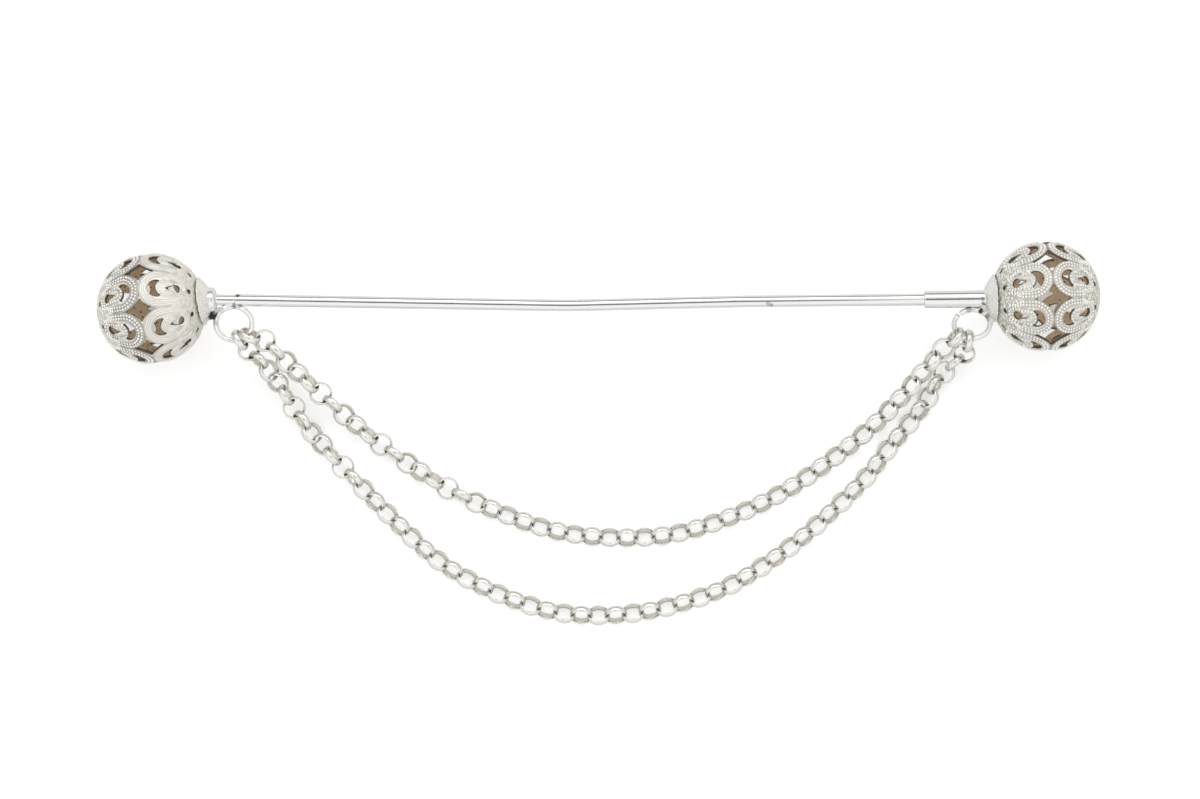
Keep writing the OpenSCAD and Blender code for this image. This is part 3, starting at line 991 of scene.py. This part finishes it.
def link_mesh():
    """One link: a band that is flat inside and rounded outside, turned round Z."""
    size = bpy.context.scene.pin_links
    half, inner, bevel = size.width / 2, size.outer / 2 - size.wall, 0.04
    crown = inner + 0.06
    profile = [(inner, -half + bevel), (inner, half - bevel), (inner + bevel, half)]
    profile += [
        (crown + (size.outer / 2 - crown) * math.cos(a), half * 0.97 * math.sin(a))
        for a in np.radians((68, 42, 15, -15, -42, -68))
    ]
    profile.append((inner + bevel, -half))
    shape = bmesh.new()
    rings = [[shape.verts.new((r * c, r * s, z)) for r, z in profile] for c, s in circle(30)]
    stitched(shape, rings + rings[:1])
    return shape_to_mesh(shape, "link")


def link_tree():
    """Geometry Nodes: a link on every point, its axis along the point's "axis" attribute."""
    inputs = [("Middles", "Geometry"), ("Link", "Object"), ("Material", "Material")]
    tree, given, out = new_tree("chain_links", "GeometryNodeTree", inputs, [("Chain", "Geometry")])
    model = add_node(tree, "GeometryNodeObjectInfo", (-450, -100))
    axis = add_node(
        tree, "GeometryNodeInputNamedAttribute", (-700, -350), {"Name": "axis"}, data_type="FLOAT_VECTOR"
    )
    turn = add_node(tree, "FunctionNodeAlignRotationToVector", (-450, -350), axis="Z")
    place = add_node(tree, "GeometryNodeInstanceOnPoints", (-150, 100))
    wire(
        tree,
        (given, "Link", model, "Object"),
        (axis, "Attribute", turn, "Vector"),
        (given, "Middles", place, "Points"),
        (model, "Geometry", place, "Instance"),
        (turn, "Rotation", place, "Rotation"),
    )
    return made_real(tree, given, place, "Instances", out)


def from_axis(points, middle, axis):
    """Distance of points from a link's axis, and their height along it."""
    away = points - middle
    high = away @ axis
    return np.linalg.norm(away - np.outer(high, axis), axis=1), high


def link_wear(mesh, places):
    """Shelter on the inner walls, and painted shade where neighbours touch."""
    size = bpy.context.scene.pin_links
    inner, outer = size.outer / 2 - size.wall, size.outer / 2
    points = points_of(mesh)
    each = len(points) // len(places)
    shelter, grime = np.zeros(len(points)), np.zeros(len(points))
    for i, place in enumerate(places):
        rows = slice(i * each, (i + 1) * each)
        flat, _ = from_axis(points[rows], *place)
        inside = 1 - smoothstep(inner, inner + 0.12, flat)
        shelter[rows] = 0.2 * inside
        # Painted shade: darker where a neighbouring link comes close, more so on the inner walls
        for other in places[max(i - 1, 0) : i] + places[i + 1 : i + 2]:
            flat, high = from_axis(points[rows], *other)
            aside = np.maximum(np.maximum(inner - flat, flat - outer), 0)
            gap = np.hypot(aside, np.maximum(np.abs(high) - size.width / 2, 0))
            grime[rows] = np.maximum(grime[rows], (1 - smoothstep(0.12, 0.36, gap)) * (0.3 + 0.7 * inside))
    mark(mesh, shelter=shelter, grime=grime, dull=0.12)


class PIN_OT_chains(bpy.types.Operator):
    """Build both chains of half-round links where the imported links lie"""

    bl_idname = "pin.chains"
    bl_label = "Chains"

    def execute(self, context):
        material = silver("link_silver")
        tree = link_tree()
        model = add_object("link_model", link_mesh())
        for node in ("upper_chain", "lower_chain"):
            places = link_places(node)
            if len(places) < 40:
                raise RuntimeError("the packed chain has too few links: " + node)
            dots = bpy.data.meshes.new(node + "_middles")
            dots.from_pydata([tuple(p) for p, _ in places], [], [])
            axis = dots.attributes.new("axis", "FLOAT_VECTOR", "POINT")
            axis.data.foreach_set("vector", np.array([a for _, a in places], np.float32).ravel())
            mesh = grown(node + "_links", dots, tree, {"Link": model, "Material": material})
            link_wear(mesh, places)
            finish_piece(node + "_links", [mesh], material, node)
        remove_object(model)
        return {"FINISHED"}


# ---------------- stage


def light_bands(sky, source, rows, at):
    """A ramp through rows of (place, level). Levels go in halved, because a ramp's colours end at 1."""
    bands = add_node(sky, "ShaderNodeValToRGB", at)
    ramp = bands.color_ramp
    for place, level in rows:
        stop = ramp.elements.new(place) if 0 < place < 1 else ramp.elements[-1 if place else 0]
        stop.color = (level / 2, level / 2, level / 2, 1)
    join(sky, source, bands.inputs["Fac"])
    return bands


class PIN_OT_stage(bpy.types.Operator):
    """Build the pale floor, the soft lights and the camera"""

    bl_idname = "pin.stage"
    bl_label = "Stage"

    def execute(self, context):
        scene = context.scene
        studio = scene.pin_studio
        shape = bmesh.new()
        bmesh.ops.create_grid(shape, x_segments=8, y_segments=8, size=1.5)
        floor = add_object("floor", shape_to_mesh(shape, "floor"))
        paper = bpy.data.materials.new("pale_paper")
        paper.use_nodes = True
        shader = paper.node_tree.nodes["Principled BSDF"]
        shader.inputs["Base Color"].default_value = (*studio.floor, 1)
        shader.inputs["Roughness"].default_value = 0.9
        shader.inputs["Specular IOR Level"].default_value = 0.1
        shader.inputs["Emission Color"].default_value = (1, 1, 1, 1)
        # The lens sees the paper a little brighter than it lights the pin, as in an overexposed studio shot
        path = add_node(paper.node_tree, "ShaderNodeLightPath", (-600, -300))
        glow = math_node(paper.node_tree, "MULTIPLY", path.outputs["Is Camera Ray"], 0.34, (-300, -300))
        join(paper.node_tree, glow, shader.inputs["Emission Strength"])
        floor.data.materials.append(paper)

        world = bpy.data.worlds.new("studio")
        world.use_nodes = True
        sky = world.node_tree
        place = add_node(sky, "ShaderNodeTexCoord", (-1100, 0))
        parts = add_node(sky, "ShaderNodeSeparateXYZ", (-900, 0))
        above = light_bands(sky, parts.outputs["Z"], SKY, (-500, 200))
        half = math_node(sky, "MULTIPLY", parts.outputs["Y"], 0.5, (-700, -200))
        behind = math_node(sky, "ADD", half, 0.5, (-600, -200))
        around = light_bands(sky, behind, WALLS, (-500, -200))
        both = add_node(sky, "ShaderNodeVectorMath", (-200, 0), operation="MULTIPLY")
        wire(sky, (above, "Color", both, 0), (around, "Color", both, 1))
        light = sky.nodes["Background"]
        light.inputs["Strength"].default_value = 4.0
        wire(sky, (place, "Generated", parts, "Vector"), (both, "Vector", light, "Color"))
        scene.world = world
        softbox = bpy.data.lights.new("back_softbox", "AREA")
        softbox.shape = "RECTANGLE"
        softbox.size, softbox.size_y = 1.2, 0.35
        softbox.energy = 2.2
        lamp = add_object("back_softbox", softbox)
        lamp.location = (0, 0.55, 0.5)
        lamp.rotation_euler = (-lamp.location).to_track_quat("-Z", "Y").to_euler()
        scene.view_settings.view_transform = "Standard"

        lens = bpy.data.cameras.new("camera")
        lens.sensor_width = 36
        lens.lens = studio.lens
        lens.clip_end = 20
        camera = add_object("camera", lens)
        camera.location = (0.000156, 0.003698, studio.camera_height)
        scene.camera = camera
        return {"FINISHED"}


# ---------------- panel and run


class PIN_PT_panel(bpy.types.Panel):
    """Lists the pieces of the pin and their sizes"""

    bl_label = "Scarf Pin"
    bl_idname = "PIN_PT_panel"
    bl_space_type = "VIEW_3D"
    bl_region_type = "UI"
    bl_category = "Scarf Pin"

    def draw(self, context):
        scene = context.scene
        for title, settings, steps in (
            ("Silver", scene.pin_silver, ()),
            ("Balls", scene.pin_ball, ("pin.balls",)),
            ("Fittings", scene.pin_fittings, ("pin.stem", "pin.clutch")),
            ("Links", scene.pin_links, ("pin.chains",)),
            ("Studio", scene.pin_studio, ("pin.stage",)),
        ):
            box = self.layout.box()
            box.label(text=title)
            for name in settings.bl_rna.properties.keys():
                if name not in {"rna_type", "name"}:
                    box.prop(settings, name)
            for step in steps:
                box.operator(step)


SETTINGS = (
    ("pin_silver", SilverSettings),
    ("pin_ball", BallSettings),
    ("pin_fittings", FittingSettings),
    ("pin_links", LinkSettings),
    ("pin_studio", StudioSettings),
)
CLASSES = (PIN_OT_balls, PIN_OT_stem, PIN_OT_clutch, PIN_OT_chains, PIN_OT_stage, PIN_PT_panel)


def register():
    for name, kind in SETTINGS:
        bpy.utils.register_class(kind)
        setattr(bpy.types.Scene, name, bpy.props.PointerProperty(type=kind))
    for kind in CLASSES:
        bpy.utils.register_class(kind)


def unregister():
    for kind in reversed(CLASSES):
        bpy.utils.unregister_class(kind)
    for name, kind in reversed(SETTINGS):
        delattr(bpy.types.Scene, name)
        bpy.utils.unregister_class(kind)


def main():
    """Builds everything in order."""
    register()
    surface_group()
    tarnish_group()
    bpy.ops.pin.balls()
    bpy.ops.pin.stem()
    bpy.ops.pin.clutch()
    bpy.ops.pin.chains()
    bpy.ops.pin.stage()
    bpy.context.view_layer.update()


if __name__ == "__main__":
    main()
